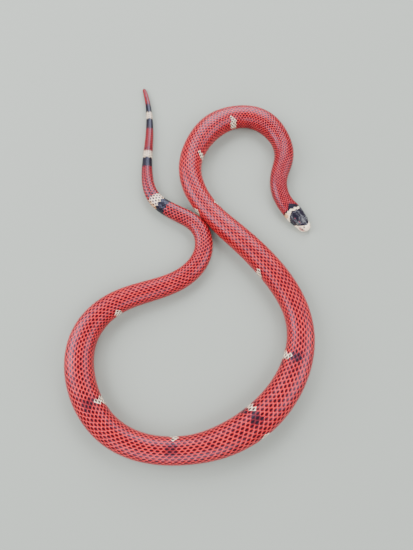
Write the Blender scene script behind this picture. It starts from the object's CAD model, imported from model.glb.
"""Milk snake at rest in loose coils: the skin, scales, shields and eyes.

Metres, +Z up, in the frame of the solids. A station is a distance along the
spine from the snout. An angle goes round a section from the crown, plus to
the snake's left, so 0 is the middle of the back and 180 the middle of the
belly. Scale rows are counted the same way from the row along the back.
"""
import math

import bmesh
import bpy
import numpy as np
from mathutils import Matrix, Vector
from mathutils.kdtree import KDTree


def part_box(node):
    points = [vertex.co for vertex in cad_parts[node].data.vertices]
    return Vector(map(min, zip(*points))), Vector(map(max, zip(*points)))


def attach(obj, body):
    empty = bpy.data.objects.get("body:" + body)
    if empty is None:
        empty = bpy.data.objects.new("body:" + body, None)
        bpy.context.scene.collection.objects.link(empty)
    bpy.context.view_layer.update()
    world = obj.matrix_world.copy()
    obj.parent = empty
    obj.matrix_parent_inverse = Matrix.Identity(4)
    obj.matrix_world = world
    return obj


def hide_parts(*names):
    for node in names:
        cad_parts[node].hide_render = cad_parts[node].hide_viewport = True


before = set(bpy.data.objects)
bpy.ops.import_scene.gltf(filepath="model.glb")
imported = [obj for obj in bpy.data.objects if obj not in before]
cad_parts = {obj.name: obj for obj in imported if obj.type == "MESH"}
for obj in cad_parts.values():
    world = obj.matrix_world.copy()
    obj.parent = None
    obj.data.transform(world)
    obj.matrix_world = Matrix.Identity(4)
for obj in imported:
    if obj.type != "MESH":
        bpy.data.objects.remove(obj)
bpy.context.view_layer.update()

MM = 0.001
TINY = 1e-12
FAR_AWAY = 1.0

# The pose: heading from snout to tail at each station, in millimetres and degrees
LENGTH = 1153 * MM
HEADINGS = (
    (0, 118), (26, 130), (51, 100.5), (77, 71.5), (108, 105.5), (138, 140), (173, 191.5),
    (208, 227), (243, 254), (283, 291.5), (333, 314.5), (383, 311), (433, 294), (483, 256.5),
    (543, 223), (603, 194.5), (663, 164), (713, 125.5), (763, 90), (803, 48.5), (843, 19),
    (873, 21.5), (908, 54.5), (938, 100.5), (968, 149.5), (993, 145.5), (1023, 105.5),
    (1063, 88.5), (1103, 93.5), (1153, 108),
)

# Girth: width at each station in millimetres, and levels as shares of the width
WIDTHS = (
    (0, 10.6), (4, 12.1), (8, 13.2), (12, 15.1), (18, 17.1), (24, 18.6), (34, 17.2), (59, 17.6),
    (87, 19.9), (113, 20.7), (139, 23.3), (168, 23.3), (203, 26.1), (239, 24.4), (278, 23.2),
    (315, 21.9), (348, 23.6), (403, 24.9), (458, 24.3), (507, 26.9), (553, 28.6), (582, 27.2),
    (619, 23.3), (653, 22.7), (693, 23.8), (751, 25.4), (790, 24.3), (829, 21.6), (870, 20.0),
    (914, 18.6), (951, 16.8), (984, 15.9), (1033, 12.4), (1062, 10.0), (1089, 8.6), (1124, 6.3),
    (1143, 4.9), (1153, 3.6),
)
TOP_SHARE = ((0, 0.56), (5, 0.60), (11, 0.61), (24, 0.64), (32, 0.73), (46, 0.84), (62, 0.87),
             (72, 0.87), (1153, 0.87))
SIDE_SHARE = ((0, 0.28), (5, 0.24), (11, 0.22), (18, 0.25), (22, 0.28), (34, 0.40), (46, 0.44),
              (56, 0.44), (1153, 0.44))
UNDER_SHARE = ((0, 0.07), (4, 0.02), (8, -0.02), (12, -0.02), (1153, -0.02))
UPPER_POWER = ((0, 2.0), (11, 2.4), (24, 2.4), (46, 2.15), (56, 2.15), (1153, 2.15))
LOWER_POWER = 2.7

# Rounding of the ends, in plan and in profile, and how the jaw falls short of the snout
SNOUT_ROUND = 5 * MM
SNOUT_PROFILE_ROUND = 2.8 * MM
JAW_SETBACK = 0.7 * MM
JAW_TIP_SHARE = 0.35
TAIL_ROUND = 3 * MM

# Dorsal scales: pitch along the body at each station, and where each outer row ends
SCALE_PITCH = ((0, 1.6), (20, 2.0), (30, 2.6), (62, 3.0), (103, 3.2), (153, 3.8), (213, 4.3),
               (293, 4.8), (373, 5.0), (643, 5.0), (743, 4.6), (863, 4.4), (933, 3.8), (1028, 3.6),
               (1083, 3.0), (1123, 2.4), (1153, 1.6))
HALF_ROWS = 11
THROAT_ROWS = 15
THROAT_END = 32 * MM
ROW_ENDS = {11: 790, 10: 845, 9: 905, 8: 950, 7: 980, 6: 1010, 5: 1050, 4: 1085, 3: 1112, 2: 1134}
ROW_FADE = 14 * MM

# The share of the half turn that dorsal scales cover, the coat's depth as a share of the pitch,
# and the stations behind the head between which it rises to that depth
SCALED_SHARE = 0.69
COAT_SHARE = 0.085
COAT_RISE = (19 * MM, 25 * MM)
SKIN_FLOOR_GAP = 0.03 * MM

# How far a scale's dark tip is drawn in: less on the small scales of the neck and tail
TIP_DRAW_IN = ((0, 0.70), (90, 0.73), (170, 0.88), (300, 0.92), (880, 0.92), (990, 0.74),
               (1153, 0.66))

# Head shields: corners on the left side, station in millimetres and angle in degrees
CORNERS = {
    "snout_side": (1.0, 64), "snout_fold": (1.8, 28), "snout_top": (2.3, 0),
    "nose_top": (5.0, 0), "nose_side": (4.6, 38), "nose_mid": (4.9, 52), "nose_low": (5.0, 71),
    "cheek_top": (7.3, 50), "cheek_low": (7.3, 71),
    "brow_mid": (8.0, 0), "brow_corner": (8.4, 17), "brow_front": (8.7, 38), "brow_edge": (11.0, 46),
    "brow_back": (13.5, 36), "crown_corner": (12.9, 13), "crown_mid": (14.6, 0),
    "eye_front": (9.2, 58), "eye_low_front": (9.6, 75), "eye_low_back": (12.2, 75),
    "eye_back": (12.8, 58), "temple_top": (15.2, 40), "temple_mid": (15.3, 56),
    "temple_low": (15.4, 71), "side_top": (18.4, 42), "side_mid": (18.6, 57), "side_low": (18.8, 71),
    "nape_side": (21.6, 31), "nape_edge": (22.8, 44), "nape_low": (22.9, 57), "jaw": (22.6, 71),
    "nape_fold": (22.2, 14), "nape_mid": (21.2, 0), "snout_lip": (0.5, 87),
}
SEAM_RUNS = (
    ("snout_lip", "snout_side", "snout_fold", "snout_top", "nose_top", "brow_mid", "brow_corner",
     "brow_front", "cheek_top", "nose_mid", "nose_side", "nose_top"),
    ("snout_fold", "nose_side"), ("nose_mid", "nose_low"), ("cheek_top", "cheek_low"),
    ("brow_corner", "crown_corner", "crown_mid", "nape_mid"),
    ("brow_front", "brow_edge", "brow_back", "crown_corner"),
    ("snout_side", "nose_low", "cheek_low", "eye_low_front"),
    ("eye_low_back", "temple_low", "side_low", "jaw"), ("brow_front", "eye_front"),
    ("brow_back", "eye_back"), ("brow_back", "temple_top", "side_top", "nape_side", "nape_fold",
                                "nape_mid"),
    ("temple_top", "temple_mid", "temple_low"), ("temple_mid", "side_mid", "nape_low"),
    ("side_top", "side_mid", "side_low"), ("nape_side", "nape_edge", "nape_low", "jaw"),
)
UPPER_LABIAL_SEAMS = (2.9, 5.0, 7.4, 9.6, 12.2, 15.4, 20.0)
UPPER_LABIAL_ANGLES = (71, 87)
LOWER_LABIAL_SEAMS = (1.7, 3.2, 5.0, 7.0, 9.4, 12.0, 14.8, 18.4)
LOWER_LABIAL_ANGLES = (93, 112)
LOWER_LABIAL_EDGE = ((1.7, 112), (18.4, 112), (20.0, 93))

# Where the dorsal scales begin: angle in degrees and station in millimetres
SHIELDS_END = ((0, 21.2), (14, 22.2), (31, 21.6), (44, 22.8), (57, 22.9), (71, 22.6), (73, 20),
               (92, 20), (94, 18.4), (112, 18.4), (114, 11), (180, 11))


def curve_through(points):
    """Return a smooth function through points given in millimetres."""
    at, value = np.array(points, dtype=float).T
    slope = np.gradient(value, at)

    def read(station):
        place = np.clip(np.asarray(station) / MM, at[0], at[-1])
        k = np.clip(np.searchsorted(at, place, side="right") - 1, 0, len(at) - 2)
        span = at[k + 1] - at[k]
        t = (place - at[k]) / span
        start = (2 * t**3 - 3 * t**2 + 1) * value[k] + (t**3 - 2 * t**2 + t) * span * slope[k]
        end = (3 * t**2 - 2 * t**3) * value[k + 1] + (t**3 - t**2) * span * slope[k + 1]
        return start + end

    return read


heading_at = curve_through(HEADINGS)
width_at = curve_through(WIDTHS)
top_share_at = curve_through(TOP_SHARE)
side_share_at = curve_through(SIDE_SHARE)
under_share_at = curve_through(UNDER_SHARE)
upper_power_at = curve_through(UPPER_POWER)
pitch_at = curve_through(SCALE_PITCH)


def ease(value, start, end):
    """Smooth step from 0 at start to 1 at end."""
    t = np.clip((value - start) / (end - start), 0, 1)
    return t * t * (3 - 2 * t)


def ridge(distance, middle, width):
    """Height of a soft ridge at a distance, 1 at its middle."""
    return np.exp(-((distance - middle) / width) ** 2)


def walk_spine():
    """Stations a millimetre apart and the spine's points there, the snout at the origin."""
    stations = np.arange(0, LENGTH + MM / 2, MM)
    heading = np.radians(heading_at(stations[1:] - MM / 2))
    steps = MM * np.stack([np.cos(heading), np.sin(heading)], axis=1)
    return stations, np.vstack([np.zeros((1, 2)), np.cumsum(steps, axis=0)])


SPINE_STATIONS, SPINE = walk_spine()


def left_at(station):
    """Level direction to the snake's left."""
    heading = np.radians(heading_at(station))
    return np.stack([np.sin(heading), -np.cos(heading)], axis=-1)


def centre_spine():
    """Shift the spine so that the footprint is centred on the origin, as the solids are."""
    inner = SPINE_STATIONS[1:-1]
    half = section(inner)[0][:, None]
    middle = SPINE[1:-1]
    outline = np.vstack([middle + half * left_at(inner), middle - half * left_at(inner)])
    return SPINE - (outline.min(axis=0) + outline.max(axis=0)) / 2


def round_end(distance, radius):
    """Share of the full size at a distance from a rounded end."""
    return np.sqrt(1 - (1 - np.clip(distance / radius, 0, 1)) ** 2)


def section(station):
    """Half width, level of the widest line, rise above it, drop below it, upper power."""
    width = width_at(station) * MM
    side = side_share_at(station) * width
    rise = top_share_at(station) * width - side
    drop = side - under_share_at(station) * width
    tail_end = round_end(LENGTH - station, TAIL_ROUND)
    profile = round_end(station, SNOUT_PROFILE_ROUND) * tail_end
    jaw = np.maximum(round_end(station - JAW_SETBACK, SNOUT_PROFILE_ROUND), JAW_TIP_SHARE)
    half = width / 2 * round_end(station, SNOUT_ROUND) * tail_end
    return half, side, rise * profile, drop * jaw * profile, upper_power_at(station)


def flat_section(station, angle):
    """Place across and up of a section's points, the belly flat on the floor."""
    half, side, rise, drop, upper_power = section(station)
    sine, cosine = np.sin(np.radians(angle)), np.cos(np.radians(angle))
    power = 2 / np.where(cosine > 0, upper_power, LOWER_POWER)
    across = half * np.sign(sine) * np.abs(sine) ** power
    up = side + np.where(cosine > 0, rise, drop) * np.sign(cosine) * np.abs(cosine) ** power
    return across, np.maximum(up, 0)


SPINE = centre_spine()


def surface(station, angle, lift=0.0):
    """Points on the body, raised by lift along the section's outward direction."""
    station, angle = np.broadcast_arrays(np.asarray(station, float), np.asarray(angle, float))
    across, up = flat_section(station, angle)
    before = flat_section(station, angle - 1.0)
    after = flat_section(station, angle + 1.0)
    run, climb = after[0] - before[0], after[1] - before[1]
    size = np.hypot(run, climb) + TINY
    across = across - lift * climb / size
    up = np.maximum(up + lift * run / size, SKIN_FLOOR_GAP)
    left = left_at(station)
    x = np.interp(station, SPINE_STATIONS, SPINE[:, 0]) + left[..., 0] * across
    y = np.interp(station, SPINE_STATIONS, SPINE[:, 1]) + left[..., 1] * across
    return np.stack([x, y, up], axis=-1)


def coat_depth(station):
    """Depth of the scale coat, by which the skin lies inside the solids."""
    return COAT_SHARE * pitch_at(station) * MM * ease(station, *COAT_RISE)


def unit(vectors):
    """The same directions with a length of 1."""
    return vectors / (np.linalg.norm(vectors, axis=-1, keepdims=True) + TINY)


# Markings

WHITE, BLACK = 1, 0

# Tail rings: from station to station in millimetres
RINGS = (
    (BLACK, 988.5, 998.5), (WHITE, 998.5, 1008), (BLACK, 1045, 1056.5), (WHITE, 1056.5, 1066),
    (BLACK, 1094, 1107.5), (WHITE, 1107.5, 1116.5), (BLACK, 1116.5, 1127.5),
)

# White is tan low on the right flank of the collar and of the first white ring
HEAD_MARKS_END = 30 * MM
TAN_RING = 1003 * MM
TAN_RING_REACH = 10 * MM
TAN_ANGLES = (25, 75)
TAN_SPREAD = 0.3
HEAD_DOTS = 0.3

# Patches: colour, station and half length in millimetres, first and last angle, strength
PATCHES = (
    (WHITE, 180, 3.8, -29, -98, 1.0), (WHITE, 245, 3.8, -36, -125, 1.0),
    (WHITE, 307, 3.9, 76, 125, 1.0), (WHITE, 313, 3.9, -50, -125, 1.0),
    (WHITE, 395, 4.0, 66, 125, 1.0),
    (WHITE, 491.5, 3.7, 39, 125, 1.0), (BLACK, 490.5, 5.4, 40, -8, 0.8),
    (BLACK, 500, 3.0, 56, 100, 0.6), (WHITE, 554, 3.5, 31, 125, 1.0),
    (BLACK, 556.5, 6.6, 32, -4, 0.8), (BLACK, 560.5, 3.4, 42, 110, 0.8),
    (BLACK, 547.5, 2.8, 40, 100, 0.5), (WHITE, 557.5, 3.6, -66, -125, 1.0),
    (WHITE, 631, 3.7, 45, 125, 1.0), (BLACK, 633, 5.8, 40, -10, 0.65),
    (WHITE, 716, 4.1, 38, 125, 1.0), (BLACK, 717.5, 5.6, 36, -16, 0.6),
    (WHITE, 820, 3.9, 55, 125, 1.0), (BLACK, 1011, 2.0, 30, -45, 0.6),
    (BLACK, 1068.5, 2.2, 45, -30, 0.6),
)
PATCH_START_WIDTH = 0.4
PATCH_WIDENING = 2.6
BLACK_EDGE = 0.35
BLACK_RISE = 1.5

# Head and nape: edges of the pale snout, black cap, pale collar and black nape by angle
SNOUT_EDGE = ((-90, 12.0), (-60, 8.5), (-34, 6.4), (-8, 4.8), (10, 4.1), (38, 5.8), (60, 7.4),
              (90, 10.0))
COLLAR_FRONT = ((-110, 18.2), (-90, 18.6), (-66, 20.4), (-50, 22.0), (-34, 23.2), (-16, 23.4),
                (0, 22.9), (16, 22.1), (30, 22.0), (40, 22.7), (48, 23.6), (76, 23.4), (92, 20.0),
                (110, 19.6))
COLLAR_BACK = ((-110, 26.2), (-78, 26.0), (-22, 25.9), (0, 25.4), (16, 24.9), (30, 24.1), (40, 23.2),
               (48, 22.6), (76, 22.6), (92, 23.6), (110, 23.8))
NAPE_BACK = ((-110, 26.9), (-58, 27.0), (-40, 27.3), (-24, 28.1), (-10, 29.8), (3, 33.5), (10, 30.8),
             (18, 28.6), (30, 27.2), (44, 26.2), (60, 25.5), (110, 25.6))
NAPE_LIMIT = 40
CAP_DEPTH_LIMIT = 2

# Soft flecks of the head: station in millimetres, angle, half length and half turn
PINK_FLECKS = ((16.5, -32, 0.6, 2.6), (10.6, -26, 1.2, 2.2))
SNOUT_WASH = (3.8, -64, 3.0, 17)
DARK_FLECK = (3.8, -22, 0.75, 8)
FLECK_STRENGTH = 1.8
WASH_STRENGTH = 0.85


def patch_cover(station, angle, shape):
    """How much of a patch lies here: narrow at its first angle, black fading to its edges."""
    colour, middle, half, first, last, strength = shape
    depth = (angle - first) / (last - first)
    widening = np.clip(depth * PATCH_WIDENING, 0, 1)
    half_here = half * (PATCH_START_WIDTH + (1 - PATCH_START_WIDTH) * widening)
    along = 1 - np.abs(station / MM - middle) / half_here
    fade = 1 if colour == WHITE else np.clip(BLACK_EDGE + BLACK_RISE * along, 0, 1)
    return np.where((depth > 0) & (depth < 1) & (along > 0), strength * fade, 0.0)


def fleck_cover(station, angle, shape):
    """How much of a soft fleck lies here: its station, angle, half length and half turn."""
    place, turn, length, spread = shape
    reach = ((station / MM - place) / length) ** 2 + ((angle - turn) / spread) ** 2
    return np.clip(FLECK_STRENGTH * np.exp(-reach), 0, 1)


def head_edges(angle):
    """Stations of the four colour edges of the head at an angle, in millimetres."""
    return [np.interp(angle, *np.array(edge, float).T)
            for edge in (SNOUT_EDGE, COLLAR_FRONT, COLLAR_BACK, NAPE_BACK)]


def cap_depth(station, angle):
    """How far inside the edges of the black cap a place lies, in millimetres."""
    snout, collar_front, _, _ = head_edges(angle)
    depth = np.minimum(station / MM - snout, collar_front - station / MM)
    return np.clip(depth, -CAP_DEPTH_LIMIT, CAP_DEPTH_LIMIT)


def markings(station, angle):
    """Shares of black and white at places on the body."""
    black = np.zeros(np.broadcast(station, angle).shape)
    white = np.zeros_like(black)
    for shape in PATCHES:
        cover = patch_cover(station, angle, shape)
        layer = white if shape[0] == WHITE else black
        np.maximum(layer, cover, out=layer)
    for colour, start, end in RINGS:
        layer = white if colour == WHITE else black
        layer[(station > start * MM) & (station < end * MM)] = 1
    _, _, collar_back, nape = head_edges(angle)
    place = station / MM
    cap = cap_depth(station, angle) > 0
    behind = (place > collar_back) & (place < nape)
    fore = place < collar_back
    white = np.where(fore, 1, white)
    black = np.where(fore, cap, np.where(place < NAPE_LIMIT, behind, black))
    return np.where(fore, black, black * (1 - white)), white


# Skin

HEAD_END = 27 * MM
HEAD_STEP = 0.2 * MM
BODY_STEP = 4.5 * MM
SNOUT_STATIONS = (0.03, 0.08, 0.15, 0.25, 0.38, 0.52, 0.68, 0.86)
HEAD_START = 1.05 * MM
TIP_SHARES = (0.9, 0.7, 0.5, 0.3, 0.15, 0.05)
SIDES = 220
EVEN_STATION = 12 * MM
EVEN_STEPS = 1441
ARC_STEPS = 361
SNOUT_SMOOTH = 0.8 * MM
RELIEF_FADE = (21.5 * MM, 23.5 * MM)
SHIELDED_FADE = (22 * MM, 23.5 * MM)

# Head shields and the seams between them
SEAM_DEPTH = 0.30 * MM
SEAM_WIDTH = 0.17 * MM
SEAM_SAMPLE = 0.08 * MM
SHIELD_LIFT = 0.20 * MM
SHIELD_DOME = 0.10 * MM
SHIELD_SHOULDER = 0.5 * MM

# Mouth line: it lies within some degrees of the lip's angle
MOUTH_DEPTH = 0.52 * MM
MOUTH_WIDTH = 0.16 * MM
MOUTH_END = 20.5 * MM
MOUTH_FADE = 2 * MM
LIP_SPREAD = 12

# Eye socket, the rim round it with a brow above, and the groove round the rim
EYE_STATION = 10.8 * MM
SOCKET_DEPTH = 1.1 * MM
SOCKET_EDGE = (1.20 * MM, 1.60 * MM)
RIM = 1.75 * MM
RIM_WIDTH = 0.20 * MM
RIM_LIFT = 0.20 * MM
BROW_LIFT = 0.12 * MM
BROW_HEIGHT = 1.2 * MM
GROOVE = 2.17 * MM
GROOVE_WIDTH = 0.12 * MM
GROOVE_DEPTH = 0.16 * MM

# Nostril: its station and level, and the rim round it
NOSTRIL = (3.1 * MM, 5.3 * MM)
NOSTRIL_RADIUS = 0.40 * MM
NOSTRIL_DEPTH = 0.90 * MM
NOSTRIL_DARK = 0.80 * MM
NOSTRIL_RIM = 0.62 * MM
NOSTRIL_RIM_WIDTH = 0.15 * MM
NOSTRIL_RIM_LIFT = 0.08 * MM


def arc_lengths(stations, steps=ARC_STEPS):
    """Length round the section from the crown, for fine steps of angle, at each station."""
    fine = np.linspace(0, 180, steps)
    across, up = flat_section(stations[:, None], fine[None])
    lengths = np.cumsum(np.hypot(np.diff(across, axis=1), np.diff(up, axis=1)), axis=1)
    return np.concatenate([np.zeros((len(stations), 1)), lengths], axis=1), fine


def even_angles(station, count):
    """Angles evenly spaced by length round the section at a station, a full turn in all."""
    arcs, fine = arc_lengths(np.array([station]), EVEN_STEPS)
    left = np.interp(np.linspace(0, arcs[0, -1], count // 2 + 1), arcs[0], fine)
    return np.concatenate([left, -left[-2:0:-1]])


def seam_points():
    """Points along every seam of the head shields, on both sides."""
    runs = [[CORNERS[name] for name in run] for run in SEAM_RUNS]
    for seams, (low, high) in ((UPPER_LABIAL_SEAMS, UPPER_LABIAL_ANGLES),
                               (LOWER_LABIAL_SEAMS, LOWER_LABIAL_ANGLES)):
        runs += [[(seam, low), (seam, high)] for seam in seams]
    runs.append(LOWER_LABIAL_EDGE)
    points = []
    for run in runs:
        for near, far in zip(run, run[1:]):
            ends = np.array([near, far], float)
            gap = np.linalg.norm(np.diff(surface(ends[:, 0] * MM, ends[:, 1]), axis=0))
            share = np.linspace(0, 1, max(2, int(gap / SEAM_SAMPLE)))[:, None]
            points.append(ends[0] + (ends[1] - ends[0]) * share)
    left = np.vstack(points)
    both = np.vstack([left, left * (1, -1)])
    return surface(both[:, 0] * MM, both[:, 1])


def distance_to_seams(points):
    """Distance from each point to the nearest seam."""
    seams = seam_points()
    tree = KDTree(len(seams))
    for k, point in enumerate(seams):
        tree.insert(point, k)
    tree.balance()
    return np.array([tree.find(point)[2] for point in points])


def side_distance(points, centre, station):
    """Distance from the level line through a point on the side of the head, and height over it."""
    heading = math.radians(float(heading_at(station)))
    along = (points[:, :2] - centre[:2]) @ np.array([math.cos(heading), math.sin(heading)])
    return np.hypot(along, points[:, 2] - centre[2]), points[:, 2] - centre[2]


def head_relief(station, angle):
    """Lift of the head's skin: shields, seams, mouth, nostrils and the rims of the eyes."""
    base = surface(station, angle)
    seam = distance_to_seams(base)
    relief = SHIELD_LIFT + SHIELD_DOME * (1 - np.exp(-seam / SHIELD_SHOULDER))
    relief -= SEAM_DEPTH * ridge(seam, 0, SEAM_WIDTH)
    lip = np.abs(base[:, 2] - section(station)[1])
    near_lip = np.abs(np.abs(angle) - 90) < LIP_SPREAD
    mouth = near_lip * (1 - ease(station, MOUTH_END - MOUTH_FADE, MOUTH_END))
    relief -= MOUTH_DEPTH * ridge(lip, 0, MOUTH_WIDTH) * mouth
    for side, word in ((1, "left"), (-1, "right")):
        here = np.sign(angle) == side
        low, high = (np.array(corner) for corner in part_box(f"eye_{word}"))
        reach, height = side_distance(base, (low + high) / 2, EYE_STATION)
        reach = np.where(here, reach, FAR_AWAY)
        relief -= SOCKET_DEPTH * (1 - ease(reach, *SOCKET_EDGE))
        rim_lift = RIM_LIFT + BROW_LIFT * ease(height, 0, BROW_HEIGHT)
        relief += rim_lift * ridge(reach, RIM, RIM_WIDTH)
        relief -= GROOVE_DEPTH * ridge(reach, GROOVE, GROOVE_WIDTH)
        nostril = side_distance(base, nostril_place(side), NOSTRIL[0])[0]
        nostril = np.where(here, nostril, FAR_AWAY)
        relief -= NOSTRIL_DEPTH * ridge(nostril, 0, NOSTRIL_RADIUS)
        relief += NOSTRIL_RIM_LIFT * ridge(nostril, NOSTRIL_RIM, NOSTRIL_RIM_WIDTH)
    return relief


def nostril_place(side):
    """Point on the side of the snout at the nostril's station and level."""
    station, level = NOSTRIL
    angles = np.linspace(0, 90, ARC_STEPS)
    up = flat_section(np.full_like(angles, station), angles)[1]
    angle = np.interp(-level, -up, angles)
    return surface(station, side * angle)


def grid_mesh(name, points, closed_ends):
    """Mesh of rings of points, closed round and shut at both ends by a point each."""
    rings, sides = points.shape[:2]
    vertices = np.vstack([points.reshape(-1, 3), closed_ends])
    ring, side = np.meshgrid(np.arange(rings - 1), np.arange(sides), indexing="ij")
    after = (side + 1) % sides
    quads = np.stack([ring * sides + side, (ring + 1) * sides + side,
                      (ring + 1) * sides + after, ring * sides + after], axis=-1).reshape(-1, 4)
    first, last = rings * sides, rings * sides + 1
    around = np.arange(sides)
    nose = np.stack([np.full(sides, first), around, (around + 1) % sides], axis=-1)
    end_ring = (rings - 1) * sides
    tip = np.stack([np.full(sides, last), end_ring + (around + 1) % sides, end_ring + around],
                   axis=-1)
    mesh = bpy.data.meshes.new(name)
    mesh.from_pydata(vertices.tolist(), [], quads.tolist() + nose.tolist() + tip.tolist())
    return mesh


def add_values(mesh, name, kind, values):
    """Store one value for each vertex."""
    layer = mesh.attributes.new(name, kind, "POINT")
    field = {"FLOAT_VECTOR": "vector", "FLOAT_COLOR": "color", "FLOAT": "value"}[kind]
    layer.data.foreach_set(field, np.ascontiguousarray(values, dtype=np.float32).ravel())


def mark_colours(station, angle, tone):
    """Shares of black and white, the tone from light to dark, and the share of dark dots."""
    black, white = markings(station, angle)
    on_head = station < HEAD_MARKS_END
    banded = on_head | (np.abs(station - TAN_RING) < TAN_RING_REACH)
    tan = np.maximum(TAN_SPREAD * tone, ease(-angle, *TAN_ANGLES) * banded)
    tone = np.where(white > 0, tan, tone)
    dotted = np.where(on_head, HEAD_DOTS, 1.0)
    return np.stack([black, white, tone, dotted], axis=-1)


def skin_stations():
    """Stations of the skin's rings: close on the head and the tail tip, wide apart between."""
    head = np.arange(HEAD_START, HEAD_END, HEAD_STEP)
    body = np.arange(HEAD_END, LENGTH - TAIL_ROUND, BODY_STEP)
    tip = LENGTH - TAIL_ROUND * np.array(TIP_SHARES)
    return np.concatenate([np.array(SNOUT_STATIONS) * MM, head, body, tip])


def read_numbers(items, field):
    """One whole number for each item of a mesh."""
    numbers = np.zeros(len(items), dtype=np.int64)
    items.foreach_get(field, numbers)
    return numbers


def add_unwrap(mesh, uv):
    """Store the UV map OFBake, a place for each corner of each face."""
    mesh.uv_layers.new(name="OFBake").data.foreach_set("uv", uv.ravel())


def skin_unwrap(mesh, stations, sides):
    """Unwrap the head across the bottom strip and the body in strips above it."""
    strips, head_height = 12, 0.3
    edge, fill, slack = 0.01, 0.96, 1.04
    split = int(np.searchsorted(stations, HEAD_MARKS_END))
    corners = read_numbers(mesh.loops, "vertex_index")
    starts = read_numbers(mesh.polygons, "loop_start")
    face = np.repeat(np.arange(len(starts)), read_numbers(mesh.polygons, "loop_total"))
    ring = np.minimum(corners // sides, len(stations) - 1)
    side = corners % sides
    first_ring = np.minimum.reduceat(ring, starts)[face]
    last_side = np.maximum.reduceat(side, starts)[face]
    turn = np.where((side == 0) & (last_side > sides // 2), sides, side) / sides
    station = stations[ring]
    behind = stations[first_ring] - stations[split]
    span = (stations[-1] - stations[split]) / strips
    strip = np.clip(behind // span, 0, strips - 1)
    u_head = station / stations[split] * (1 - 2 * edge) + edge
    v_head = turn * head_height * fill + edge / 2
    u_body = (station - stations[split] - strip * span) / (span * slack) + edge
    v_body = head_height + (1 - head_height) / strips * (strip + (1 - fill) / 2 + fill * turn)
    on_head = first_ring < split
    uv = np.stack([np.where(on_head, u_head, u_body), np.where(on_head, v_head, v_body)], axis=1)
    add_unwrap(mesh, np.clip(uv, 0, 1))


def add_piece(name, mesh, finish, replaced=()):
    """Show a mesh as a piece of the snake, in place of solids if any are named."""
    piece = bpy.data.objects.new(name, mesh)
    bpy.context.scene.collection.objects.link(piece)
    mesh.materials.clear()
    mesh.materials.append(finish)
    mesh.shade_smooth()
    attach(piece, "root")
    if replaced:
        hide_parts(*replaced)
    return piece


def make_skin(finish):
    """One closed skin from snout to tail tip, with the relief and colours of the head."""
    stations = skin_stations()
    angles = even_angles(EVEN_STATION, SIDES)
    station = np.repeat(stations, SIDES)
    angle = np.tile(angles, len(stations))
    lift = -coat_depth(station)
    head = station < RELIEF_FADE[1]
    fade = 1 - ease(station[head], *RELIEF_FADE)
    lift[head] += head_relief(station[head], angle[head]) * fade
    lift *= np.minimum(1, station / SNOUT_SMOOTH)
    points = surface(station, angle, lift).reshape(len(stations), SIDES, 3)
    ends = np.vstack([points[0].mean(axis=0), points[-1].mean(axis=0)])
    mesh = grid_mesh("skin", points, ends)
    marks = mark_colours(station, angle, np.full(len(station), 0.5))
    _, _, collar_back, _ = head_edges(angle)
    marks[station / MM < collar_back, 0] = 0
    dark = fleck_cover(station, angle, DARK_FLECK)
    for side in (1, -1):
        far = np.linalg.norm(surface(station, angle) - nostril_place(side), axis=1)
        dark = np.maximum(dark, ridge(far, 0, NOSTRIL_DARK))
    marks[:, 0] = np.maximum(marks[:, 0], dark)
    add_values(mesh, "mark", "FLOAT_COLOR", np.vstack([marks, marks[:1], marks[-1:]]))
    fleck = np.max([fleck_cover(station, angle, shape) for shape in PINK_FLECKS], axis=0)
    wash = WASH_STRENGTH * fleck_cover(station, angle, SNOUT_WASH)
    for name, values, snout_end, tail_end in (
            ("cap_depth", cap_depth(station, angle), -CAP_DEPTH_LIMIT, -CAP_DEPTH_LIMIT),
            ("shielded", 1 - ease(station, *SHIELDED_FADE), 1, 0),
            ("fleck", fleck, 0, 0), ("wash", wash, 0, 0)):
        add_values(mesh, name, "FLOAT", np.append(values, [snout_end, tail_end]))
    skin_unwrap(mesh, stations, SIDES)
    flesh = [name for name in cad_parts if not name.startswith("eye")]
    return add_piece("skin", mesh, finish, flesh)


# Scale coat

# Phase counts the scales of a row from the snout, in fine steps of station
PHASE_STEP = 0.25
PHASE_STATIONS = np.arange(0, LENGTH, PHASE_STEP * MM)
PHASE = np.concatenate([[0], np.cumsum(PHASE_STEP / pitch_at(PHASE_STATIONS[1:]))])
FIRST_SCALE = 9 * MM
TAIL_BARE = 2 * MM
LEAST_ROW_SHARE = 0.5
LAST_ROOT_SHARE = 0.99

# One scale, in shares of its own half length, half width and thickness
SCALE_SIDES = 16
SCALE_RINGS = (0.55, 0.85, 1.0)
FRONT_POWER, REAR_POWER = 1.3, 1.6
UNDERSIDE_SHARE = 0.96
UNDERSIDE_DROP = 0.34
FRONT_HEIGHT = 0.10
REAR_RISE = 0.30
DOME_RISE = 0.44

# The coat: a scale's half length to the pitch and half width to the row's width, how much they
# vary, the least thickness, and the height of a root over the floor in thicknesses
SCALE_LENGTH_SHARE = 0.54
SCALE_WIDTH_SHARE = 0.92
SIZE_SPREAD = 0.03
THICKNESS_RISE = (12 * MM, 25 * MM)
LEAST_THICKNESS = 0.12 * MM
ROOT_HEIGHT = 1.2
SCALE_FLOOR_GAP = 0.02 * MM
COAT_PIECES = (0, 175, 330, 500, 680, 860, 1153)
COAT_SEED = 7
UV_PATCH = (0.46, 0.44)


def row_weight(row, station):
    """Share of its full width that a row has, as the outer rows end one by one to the tail."""
    if row not in ROW_ENDS:
        return np.ones_like(station)
    end = ROW_ENDS[row] * MM
    return 1 - ease(station, end - ROW_FADE, end + ROW_FADE)


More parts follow.
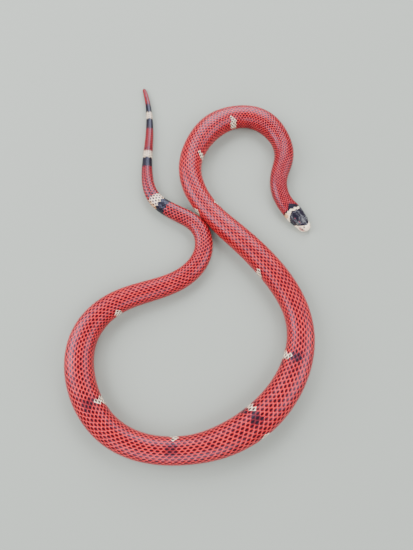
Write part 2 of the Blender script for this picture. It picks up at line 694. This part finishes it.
def row_arcs(stations, scaled_arc):
    """Distance from the crown to the middle of each row, and each row's width."""
    weights = np.stack([row_weight(row, stations) for row in range(THROAT_ROWS + 1)], axis=1)
    whole = weights[:, 0] / 2 + weights[:, 1:HALF_ROWS + 1].sum(axis=1)
    width = (scaled_arc / whole)[:, None] * weights
    before = np.cumsum(width, axis=1) - width / 2 - width[:, :1] / 2
    return before, width, weights


def scale_roots():
    """Station, angle, row and width of every dorsal scale."""
    count = int(PHASE[-1])
    found = []
    for half_step in range(2 * count):
        phase = half_step / 2
        station = np.array([np.interp(phase, PHASE, PHASE_STATIONS)])
        if station[0] < FIRST_SCALE or station[0] > LENGTH - TAIL_BARE:
            continue
        arcs, fine = arc_lengths(station)
        middles, widths, weights = row_arcs(station, SCALED_SHARE * arcs[:, -1])
        top_row = THROAT_ROWS if station[0] < THROAT_END else HALF_ROWS
        for row in range(half_step % 2, top_row + 1, 2):
            if weights[0, row] < LEAST_ROW_SHARE or middles[0, row] > arcs[0, -1] * LAST_ROOT_SHARE:
                continue
            angle = np.interp(middles[0, row], arcs[0], fine)
            if station[0] < np.interp(angle, *np.array(SHIELDS_END).T) * MM:
                continue
            sides = (1,) if row == 0 else (1, -1)
            found += [(station[0], side * angle, side * row, widths[0, row]) for side in sides]
    return np.array(found)


def scale_shape():
    """One scale in its own units: a thin domed plate, its rear edge the higher."""
    around = np.linspace(0, 2 * math.pi, SCALE_SIDES, endpoint=False)
    cosine, sine = np.cos(around), np.sin(around)
    power = 2 / np.where(cosine > 0, REAR_POWER, FRONT_POWER)
    outline = np.stack([np.sign(cosine) * np.abs(cosine) ** power,
                        np.sign(sine) * np.abs(sine) ** power], axis=1)
    layers = [(share, 0) for share in SCALE_RINGS] + [(UNDERSIDE_SHARE, UNDERSIDE_DROP)]
    vertices, places = [(0, 0, scale_height(0, 0))], [(0, 0, 0)]
    for share, drop in layers:
        for x, y in outline * share:
            vertices.append((x, y, scale_height(x, share) - drop))
            places.append((x, y, share))
    faces = [tuple(reversed(range(len(vertices) - SCALE_SIDES, len(vertices))))]
    for k in range(SCALE_SIDES):
        after = (k + 1) % SCALE_SIDES
        faces.append((0, 1 + k, 1 + after))
        for layer in range(len(layers) - 1):
            base = 1 + layer * SCALE_SIDES
            faces.append((base + k, base + SCALE_SIDES + k, base + SCALE_SIDES + after, base + after))
    mesh = bpy.data.meshes.new("scale_shape")
    mesh.from_pydata(vertices, [], faces)
    add_values(mesh, "lie", "FLOAT_VECTOR", np.array(places))
    return mesh


def scale_height(x, share):
    """Height of a scale's upper side: sloping up to the rear, and domed."""
    return FRONT_HEIGHT + REAR_RISE * (x + 1) + DOME_RISE * (1 - share**3)


def add_node(tree, kind, links=None, **settings):
    """Add a node with its settings, set or link its inputs, and return its outputs."""
    made = tree.nodes.new(kind)
    for name, value in settings.items():
        setattr(made, name, value)
    for socket, source in (links or {}).items():
        if isinstance(source, bpy.types.NodeSocket):
            tree.links.new(source, made.inputs[socket])
        else:
            made.inputs[socket].default_value = source
    return made.outputs


def coat_tree():
    """Geometry Nodes tree that sets a scale on every root and bends it round the body."""
    tree = bpy.data.node_groups.new("scale_coat", "GeometryNodeTree")
    for name, kind in (("Roots", "NodeSocketGeometry"), ("Scale", "NodeSocketObject"),
                       ("Finish", "NodeSocketMaterial"), ("Floor Gap", "NodeSocketFloat")):
        tree.interface.new_socket(name, in_out="INPUT", socket_type=kind)
    tree.interface.new_socket("Coat", in_out="OUTPUT", socket_type="NodeSocketGeometry")
    given = add_node(tree, "NodeGroupInput")
    shape = add_node(tree, "GeometryNodeObjectInfo", {"Object": given["Scale"]})
    own_place = add_node(tree, "GeometryNodeInputPosition")[0]
    kept = add_node(tree, "GeometryNodeStoreNamedAttribute",
                    {"Geometry": shape["Geometry"], "Name": "place", "Value": own_place},
                    data_type="FLOAT_VECTOR", domain="POINT")
    copies = add_node(tree, "GeometryNodeInstanceOnPoints",
                      {"Points": given["Roots"], "Instance": kept[0]})
    real = add_node(tree, "GeometryNodeRealizeInstances", {"Geometry": copies[0]})

    # Every vertex has its own place on the scale and the values of its root
    place, size, root, along, up, radius = (
        add_node(tree, "GeometryNodeInputNamedAttribute", {"Name": name}, data_type=kind)["Attribute"]
        for name, kind in (("place", "FLOAT_VECTOR"), ("size", "FLOAT_VECTOR"),
                           ("root", "FLOAT_VECTOR"), ("along", "FLOAT_VECTOR"),
                           ("up", "FLOAT_VECTOR"), ("bend_radius", "FLOAT")))
    scaled = add_node(tree, "ShaderNodeVectorMath", {0: place, 1: size}, operation="MULTIPLY")[0]
    part = add_node(tree, "ShaderNodeSeparateXYZ", {0: scaled})

    # Across the scale, flat distance becomes an arc about a centre below the root
    number = {"side": part["Y"], "level": part["Z"], "radius": radius}
    for name, operation, first, second in (
            ("turn", "DIVIDE", "side", "radius"), ("sine", "SINE", "turn", 0),
            ("cosine", "COSINE", "turn", 0), ("reach", "MULTIPLY", "radius", "sine"),
            ("fall", "SUBTRACT", 1, "cosine"), ("drop", "MULTIPLY", "radius", "fall"),
            ("height", "SUBTRACT", "level", "drop")):
        links = {0: number.get(first, first), 1: number.get(second, second)}
        number[name] = add_node(tree, "ShaderNodeMath", links, operation=operation)[0]
    across = add_node(tree, "ShaderNodeVectorMath", {0: up, 1: along}, operation="CROSS_PRODUCT")[0]
    offset = (0, 0, 0)
    for way, length in ((along, part["X"]), (across, number["reach"]), (up, number["height"])):
        shift = add_node(tree, "ShaderNodeVectorMath", {0: way, "Scale": length}, operation="SCALE")[0]
        offset = add_node(tree, "ShaderNodeVectorMath", {0: offset, 1: shift}, operation="ADD")[0]
    spot = add_node(tree, "ShaderNodeVectorMath", {0: root, 1: offset}, operation="ADD")[0]
    spot = add_node(tree, "ShaderNodeSeparateXYZ", {0: spot})
    level = add_node(tree, "ShaderNodeMath", {0: spot["Z"], 1: given["Floor Gap"]},
                     operation="MAXIMUM")[0]
    raised = add_node(tree, "ShaderNodeCombineXYZ", {"X": spot["X"], "Y": spot["Y"], "Z": level})[0]
    placed = add_node(tree, "GeometryNodeSetPosition", {"Geometry": real[0], "Position": raised})
    dressed = add_node(tree, "GeometryNodeSetMaterial",
                       {"Geometry": placed[0], "Material": given["Finish"]})
    add_node(tree, "NodeGroupOutput", {0: dressed[0]})
    return tree


def root_values(roots, noise):
    """Everything that the coat tree reads at each root."""
    station, angle, row, width = roots.T
    depth = coat_depth(station)
    place = surface(station, angle, -depth)
    step = 0.5 * MM
    ahead, behind = surface(station + step, angle, -depth), surface(station - step, angle, -depth)
    run = (ahead - behind) / (2 * step)
    side = surface(station, angle + 1, -depth) - surface(station, angle - 1, -depth)
    up = unit(np.cross(side, run))
    bend_arc = 0.5 * width
    turn = np.degrees(bend_arc / section(station)[0])
    left, right = surface(station, angle + turn, -depth), surface(station, angle - turn, -depth)
    sag = -np.einsum("ij,ij->i", (left + right) / 2 - place, up)
    half_chord = np.linalg.norm(left - right, axis=1) / 2
    pitch = pitch_at(station) * MM
    stretch = np.linalg.norm(run, axis=1)
    thickness = np.maximum(COAT_SHARE * pitch * ease(station, *THICKNESS_RISE), LEAST_THICKNESS)
    place[:, 2] = np.maximum(place[:, 2], ROOT_HEIGHT * thickness)
    size = np.stack([pitch * stretch * SCALE_LENGTH_SHARE * (1 + SIZE_SPREAD * noise[:, 0]),
                     width * SCALE_WIDTH_SHARE * (1 + SIZE_SPREAD * noise[:, 1]),
                     thickness], axis=1)
    return {
        "root": ("FLOAT_VECTOR", place), "along": ("FLOAT_VECTOR", unit(run)),
        "up": ("FLOAT_VECTOR", up), "size": ("FLOAT_VECTOR", size),
        "bend_radius": ("FLOAT", half_chord**2 / (2 * np.maximum(sag, half_chord**2))),
        "mark": ("FLOAT_COLOR", mark_colours(station, angle, 0.5 + 0.5 * noise[:, 2])),
        "tip_draw_in": ("FLOAT", np.interp(station / MM, *np.array(TIP_DRAW_IN).T)),
    }


def coat_unwrap(mesh, roots, first, last):
    """Unwrap each scale to a patch at its root's place, the rows in bands of their own."""
    shape_size = len(mesh.vertices) // len(roots)
    lie = np.zeros(len(mesh.vertices) * 3, dtype=np.float32)
    mesh.attributes["lie"].data.foreach_get("vector", lie)
    lie = lie.reshape(-1, 3)
    low, high = np.interp([first, last], PHASE_STATIONS, PHASE)
    columns = high - low + 2
    bands = 2 * THROAT_ROWS + 1
    u = (np.interp(roots[:, 0], PHASE_STATIONS, PHASE) - low + 1) / columns
    v = (roots[:, 2] + THROAT_ROWS + 0.5) / bands
    middle = np.repeat(np.stack([u, v], axis=1), shape_size, axis=0)
    uv = middle + lie[:, :2] * np.array(UV_PATCH) / (columns, bands)
    add_unwrap(mesh, uv[read_numbers(mesh.loops, "vertex_index")])


def make_coat(finish):
    """The dorsal scales, in one piece for each length of the body."""
    roots = scale_roots()
    noise = np.random.default_rng(COAT_SEED).uniform(-1, 1, (len(roots), 3))
    tree = coat_tree()
    inputs = {item.name: item.identifier for item in tree.interface.items_tree
              if item.in_out == "INPUT"}
    shape = bpy.data.objects.new("scale_shape", scale_shape())
    bpy.context.scene.collection.objects.link(shape)
    bounds = [station * MM for station in COAT_PIECES]
    for k, (first, last) in enumerate(zip(bounds, bounds[1:])):
        chosen = (roots[:, 0] >= first) & (roots[:, 0] < last)
        mesh = bpy.data.meshes.new("coat_roots")
        values = root_values(roots[chosen], noise[chosen])
        mesh.from_pydata(values["root"][1].tolist(), [], [])
        for name, (kind, value) in values.items():
            add_values(mesh, name, kind, value)
        holder = bpy.data.objects.new("coat_roots", mesh)
        bpy.context.scene.collection.objects.link(holder)
        grow = holder.modifiers.new("scale_coat", "NODES")
        grow.node_group = tree
        grow[inputs["Scale"]] = shape
        grow[inputs["Finish"]] = finish
        grow[inputs["Floor Gap"]] = SCALE_FLOOR_GAP
        view = bpy.context.evaluated_depsgraph_get()
        coat = bpy.data.meshes.new_from_object(holder.evaluated_get(view))
        bpy.data.objects.remove(holder)
        coat_unwrap(coat, roots[chosen], max(first, FIRST_SCALE), last)
        add_piece(f"scales_{k + 1}", coat, finish)
    bpy.data.objects.remove(shape)


# Belly scutes

SCUTE_START = 31 * MM
SCUTE_END = LENGTH - 3 * MM
SCUTE_ACROSS = 20
SCUTE_OVERLAP = 1.12
SCUTE_EDGE_SHARE = SCALED_SHARE - 0.025
SCUTE_EDGE_DROP = 0.35

# A plate's rows from its root over the top and back underneath: how far along, and how high
SCUTE_ALONG = (0.0, 0.5, 0.9, 1.0, 0.97, 0.0)
SCUTE_LIFTS = (0.25, 0.5, 0.75, 0.6, 0.3, 0.0)


def make_scutes(finish):
    """The wide plates under the body, one to each scale of a row, each over the next."""
    first, last = np.interp([SCUTE_START, SCUTE_END], PHASE_STATIONS, PHASE)
    share = np.linspace(-1, 1, SCUTE_ACROSS + 1)
    rim, row_size = len(SCUTE_ALONG), len(share)
    vertices, faces, marks = [], [], []
    for phase in np.arange(math.ceil(first), math.floor(last)):
        start, end = np.interp([phase, phase + SCUTE_OVERLAP], PHASE, PHASE_STATIONS)
        station = start + (end - start) * np.array(SCUTE_ALONG)
        arcs, fine = arc_lengths(station)
        edge = arcs[:, -1] * SCUTE_EDGE_SHARE
        depth = coat_depth(station)
        base = len(vertices)
        for k in range(rim):
            reach = arcs[k, -1] - (arcs[k, -1] - edge[k]) * np.abs(share)
            angle = np.interp(reach, arcs[k], fine) * np.where(share < 0, -1, 1)
            here = np.full_like(angle, station[k])
            lift = -depth[k] + depth[k] * SCUTE_LIFTS[k] * (1 - SCUTE_EDGE_DROP * share**4)
            vertices += surface(here, angle, lift).tolist()
            marks += mark_colours(here, angle, np.full_like(angle, 0.5)).tolist()
        for k in range(rim):
            for j in range(SCUTE_ACROSS):
                near = base + k * row_size + j
                far = base + (k + 1) % rim * row_size + j
                faces.append((near, near + 1, far + 1, far))
        faces.append(tuple(base + k * row_size for k in range(rim)))
        faces.append(tuple(base + k * row_size + SCUTE_ACROSS for k in reversed(range(rim))))
    mesh = bpy.data.meshes.new("belly_scutes")
    mesh.from_pydata(vertices, [], faces)
    add_values(mesh, "mark", "FLOAT_COLOR", np.array(marks))
    fix_normals(mesh)
    return add_piece("belly_scutes", mesh, finish)


def fix_normals(mesh):
    """Turn every face outwards."""
    bm = bmesh.new()
    bm.from_mesh(mesh)
    bmesh.ops.recalc_face_normals(bm, faces=bm.faces)
    bm.to_mesh(mesh)
    bm.free()


# Eyes

EYE_SEGMENTS = 64
EYE_RINGS = 40
EYE_UPWARD = 0.12


def make_eye(word, finish):
    """A round eye in its socket, its axis to the side and a little up."""
    low, high = (Vector(corner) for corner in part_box(f"eye_{word}"))
    bm = bmesh.new()
    bmesh.ops.create_uvsphere(bm, u_segments=EYE_SEGMENTS, v_segments=EYE_RINGS,
                              radius=(high.x - low.x) / 2)
    side = 1 if word == "left" else -1
    facing = Vector((*(side * left_at(EYE_STATION)), EYE_UPWARD)).normalized()
    turn = facing.to_track_quat("Z", "Y").to_matrix().to_4x4()
    centre = (low + high) / 2
    bmesh.ops.transform(bm, matrix=Matrix.Translation(centre) @ turn, verts=bm.verts)
    mesh = bpy.data.meshes.new(f"eye_ball_{word}")
    bm.to_mesh(mesh)
    bm.free()
    points = np.array([corner.co[:] for corner in mesh.vertices]) - np.array(centre)
    from_axis = np.degrees(np.arccos(np.clip(unit(points) @ np.array(facing), -1, 1)))
    add_values(mesh, "from_axis", "FLOAT", from_axis)
    return add_piece(f"eye_ball_{word}", mesh, finish, (f"eye_{word}",))


# Materials

# Keratin shines by ridges of a few thousandths of a millimetre. Its grain is drawn coarser, so
# that it shows, and shallow. Its IOR is 1.54, lowered on the scales, which the light veils.
SCALE_GRAIN = 0.5 * MM
SHIELD_GRAIN = 0.4 * MM
SCUTE_GRAIN = 0.8 * MM
GRAIN_LOW, GRAIN_HIGH = 0.3, 0.7
RELIEF_DEPTH = 0.02 * MM
SCALE_ROUGHNESS = (0.27, 0.37)
SHIELD_ROUGHNESS = (0.13, 0.26)
SCUTE_ROUGHNESS = (0.28, 0.42)
KERATIN_IOR = 1.54
SCALE_IOR = 1.46
SCALE_SPECULAR = 0.42

# On a scale: the rim where the margin comes in, and the middle, squeeze and reach of the dark
# tip of a red scale and of the dark dot of a white one
MARGIN_SPAN = (0.86, 1.0)
TIP_MIDDLE, TIP_SQUEEZE, TIP_SPAN = 0.20, (1.0, 1.6, 0), (0.86, 0.34)
DOT_MIDDLE, DOT_SQUEEZE, DOT_SPAN = 0.34, (1.1, 1.6, 0), (1.05, 0.42)

# Clouds in the white and black of the head, the blush of the belly and the edge of the cap
CLOUD_SIZE = 1.3 * MM
WHITE_CLOUD = (0.42, 0.78)
BLACK_CLOUD = (0.35, 0.75)
BLUSH_SIZE = 2.5 * MM
CAP_EDGE = (-0.12, 0.12)

# Rims of the pupil and the iris, in degrees from the eye's axis
PUPIL_EDGE = (20, 24)
IRIS_EDGE = (40, 52)


def srgb(code):
    """Linear colour from an sRGB hex code."""
    channels = [int(code[k:k + 2], 16) / 255 for k in (0, 2, 4)]
    return (*[value / 12.92 if value <= 0.04045 else ((value + 0.055) / 1.055) ** 2.4
              for value in channels], 1.0)


def new_material(name):
    """A new material, its node tree and its shader."""
    made = bpy.data.materials.new(name)
    made.use_nodes = True
    return made, made.node_tree, made.node_tree.nodes["Principled BSDF"]


def lay_colours(tree, colour, *layers):
    """Lay colours over a first one, each by a share or as a value goes from start to end."""
    for share, over in layers:
        if isinstance(share, tuple):
            value, (start, end) = share
            share = add_node(tree, "ShaderNodeMapRange",
                             {"Value": value, "From Min": start, "From Max": end},
                             interpolation_type="SMOOTHSTEP")["Result"]
        colour = add_node(tree, "ShaderNodeMix", {0: share, 6: colour, 7: over},
                          data_type="RGBA")[2]
    return colour


def grain(tree, size):
    """Cloudy variation over the surface, in patches of about the size given."""
    place = add_node(tree, "ShaderNodeTexCoord")["Object"]
    return add_node(tree, "ShaderNodeTexNoise", {"Vector": place, "Scale": 1 / size})[0]


def finish_keratin(tree, shader, colour, grain_size, roughness, ior):
    """Give the shader its colour, a roughness that varies with the grain, and a faint relief."""
    fine = grain(tree, grain_size)
    gloss = add_node(tree, "ShaderNodeMapRange",
                     {"Value": fine, "From Min": GRAIN_LOW, "From Max": GRAIN_HIGH,
                      "To Min": roughness[0], "To Max": roughness[1]})["Result"]
    relief = add_node(tree, "ShaderNodeBump", {"Height": fine, "Distance": RELIEF_DEPTH})["Normal"]
    for socket, source in (("Base Color", colour), ("Roughness", gloss), ("Normal", relief)):
        tree.links.new(source, shader.inputs[socket])
    shader.inputs["IOR"].default_value = ior


def reach_from(tree, place, middle, squeeze):
    """Distance on a scale from a point of its midline, in squeezed units."""
    squeezed = add_node(tree, "ShaderNodeVectorMath", {0: place, 1: squeeze},
                        operation="MULTIPLY")[0]
    centre = (middle * squeeze[0], 0, 0)
    return add_node(tree, "ShaderNodeVectorMath", {0: squeezed, 1: centre},
                    operation="DISTANCE")["Value"]


def scale_material():
    """Keratin scales, smooth as polished horn: red with a light margin and a dark rear tip."""
    made, tree, shader = new_material("scale_keratin")
    lie, mark, draw_in = (add_node(tree, "ShaderNodeAttribute", attribute_name=name)
                          for name in ("lie", "mark", "tip_draw_in"))
    rim = add_node(tree, "ShaderNodeSeparateXYZ", {0: lie["Vector"]})["Z"]
    black, white, tone = add_node(tree, "ShaderNodeSeparateColor", {0: mark["Color"]})
    dot = reach_from(tree, lie["Vector"], DOT_MIDDLE, DOT_SQUEEZE)
    tip = reach_from(tree, lie["Vector"], TIP_MIDDLE, TIP_SQUEEZE)
    tip = add_node(tree, "ShaderNodeMath", {0: tip, 1: draw_in["Fac"]}, operation="MULTIPLY")[0]
    red = lay_colours(tree, srgb("9C1216"), (tone, srgb("C4201E")), ((tip, TIP_SPAN), srgb("24030A")))
    plain_cream = lay_colours(tree, srgb("FBE4C6"), (tone, srgb("DFA266")))
    dotted_cream = lay_colours(tree, plain_cream, ((dot, DOT_SPAN), srgb("2E1C22")))
    cream = lay_colours(tree, plain_cream, (mark["Alpha"], dotted_cream))
    inner = lay_colours(tree, red, (white, cream), (black, srgb("120D16")))
    margin = lay_colours(tree, srgb("F0545A"), (white, srgb("FBE9D2")), (black, srgb("341C26")))
    colour = lay_colours(tree, inner, ((rim, MARGIN_SPAN), margin))
    finish_keratin(tree, shader, colour, SCALE_GRAIN, SCALE_ROUGHNESS, SCALE_IOR)
    shader.inputs["Specular IOR Level"].default_value = SCALE_SPECULAR
    shader.inputs["Specular Tint"].default_value = srgb("D8DEFF")
    return made


def skin_material():
    """Soft skin between the scales, and smooth glossy shields of keratin on the head."""
    made, tree, shader = new_material("snake_skin")
    mark, shielded, fleck, wash, cap = (
        add_node(tree, "ShaderNodeAttribute", attribute_name=name)
        for name in ("mark", "shielded", "fleck", "wash", "cap_depth"))
    black_share, white_share, _ = add_node(tree, "ShaderNodeSeparateColor", {0: mark["Color"]})
    shield = shielded["Fac"]
    cloud = grain(tree, CLOUD_SIZE)
    red = lay_colours(tree, srgb("701018"), (shield, srgb("C81E18")))
    white = lay_colours(tree, srgb("FBE8CE"), (shield, srgb("FCE7CA")),
                        ((cloud, WHITE_CLOUD), srgb("ECC09A")), (wash["Fac"], srgb("9A5250")))
    black = lay_colours(tree, srgb("3A1C28"), (shield, srgb("16131F")),
                        ((cloud, BLACK_CLOUD), srgb("231C2A")))
    colour = lay_colours(tree, red, (white_share, white), (black_share, black),
                         ((cap["Fac"], CAP_EDGE), black), (fleck["Fac"], srgb("7A3040")))
    finish_keratin(tree, shader, colour, SHIELD_GRAIN, SHIELD_ROUGHNESS, KERATIN_IOR)
    return made


def scute_material():
    """Belly plates: thin, smooth keratin, cream washed with red and barred with the body's marks."""
    made, tree, shader = new_material("belly_keratin")
    mark = add_node(tree, "ShaderNodeAttribute", attribute_name="mark")
    black, white, _ = add_node(tree, "ShaderNodeSeparateColor", {0: mark["Color"]})
    colour = lay_colours(tree, srgb("E09A8C"), (grain(tree, BLUSH_SIZE), srgb("C96C62")),
                         (white, srgb("F3E9DA")), (black, srgb("2A2026")))
    finish_keratin(tree, shader, colour, SCUTE_GRAIN, SCUTE_ROUGHNESS, KERATIN_IOR)
    return made


def eye_material():
    """The clear spectacle over a dark brown iris and a round pupil: wet gloss."""
    made, tree, shader = new_material("eye_spectacle")
    turn = add_node(tree, "ShaderNodeAttribute", attribute_name="from_axis")["Fac"]
    colour = lay_colours(tree, srgb("050404"), ((turn, PUPIL_EDGE), srgb("3A1A12")),
                         ((turn, IRIS_EDGE), srgb("0A0707")))
    tree.links.new(colour, shader.inputs["Base Color"])
    shader.inputs["Roughness"].default_value = 0.05
    shader.inputs["Coat Weight"].default_value = 1.0
    return made


def floor_material():
    """Matt studio paper, which gives back no image of the snake."""
    made, _, shader = new_material("studio_floor")
    shader.inputs["Base Color"].default_value = srgb("95988F")
    shader.inputs["Roughness"].default_value = 0.9
    return made


# Studio

# The camera: height, degrees below level, the focal length as a share of the frame's height,
# and how far the snout lies to its right and ahead of it
CAMERA_HEIGHT = 385 * MM
CAMERA_PITCH = 72
CAMERA_FOCAL_SHARE = 413 / 550
SNOUT_FROM_CAMERA = (101.6 * MM, 170.9 * MM)
SENSOR = 36.0

# Soft lamps all round, by name, place and power in watts, and a faint even sky
LAMPS = (
    ("left_softbox", (-0.95, 0.15, 0.75), 29), ("right_softbox", (0.95, -0.10, 0.75), 18),
    ("back_softbox", (0.10, 1.05, 0.85), 30), ("front_softbox", (-0.10, -1.05, 0.80), 17),
)
LAMP_SIZE = 0.9
LAMP_COLOUR = (0.91, 0.95, 1.0)
SKY_STRENGTH = 0.15
FLOOR_SIZE = 4


def make_camera():
    """Set the camera where the photograph's pose and size put it."""
    camera = bpy.data.objects.new("camera", bpy.data.cameras.new("camera"))
    bpy.context.scene.collection.objects.link(camera)
    camera.data.sensor_fit = "VERTICAL"
    camera.data.sensor_height = SENSOR
    camera.data.lens = SENSOR * CAMERA_FOCAL_SHARE
    camera.data.clip_start = 0.01
    foot = SPINE[0] - np.array(SNOUT_FROM_CAMERA)
    camera.location = (foot[0], foot[1], CAMERA_HEIGHT)
    camera.rotation_euler = (math.radians(90 - CAMERA_PITCH), 0, 0)
    bpy.context.scene.camera = camera


def make_studio():
    """A plain pale floor under soft light."""
    bpy.ops.mesh.primitive_plane_add(size=FLOOR_SIZE)
    floor = bpy.context.object
    floor.name = "floor"
    floor.data.materials.append(floor_material())
    for name, place, power in LAMPS:
        lamp = bpy.data.objects.new(name, bpy.data.lights.new(name, "AREA"))
        lamp.data.size = LAMP_SIZE
        lamp.data.energy = power
        lamp.data.color = LAMP_COLOUR
        lamp.location = place
        lamp.rotation_euler = (-Vector(place)).to_track_quat("-Z", "Y").to_euler()
        bpy.context.scene.collection.objects.link(lamp)
    world = bpy.data.worlds.new("studio")
    bpy.context.scene.world = world
    world.use_nodes = True
    sky = world.node_tree.nodes["Background"]
    sky.inputs["Color"].default_value = (1, 1, 1, 1)
    sky.inputs["Strength"].default_value = SKY_STRENGTH


make_camera()
make_skin(skin_material())
make_coat(scale_material())
make_scutes(scute_material())
eye_finish = eye_material()
for word in ("left", "right"):
    make_eye(word, eye_finish)
make_studio()
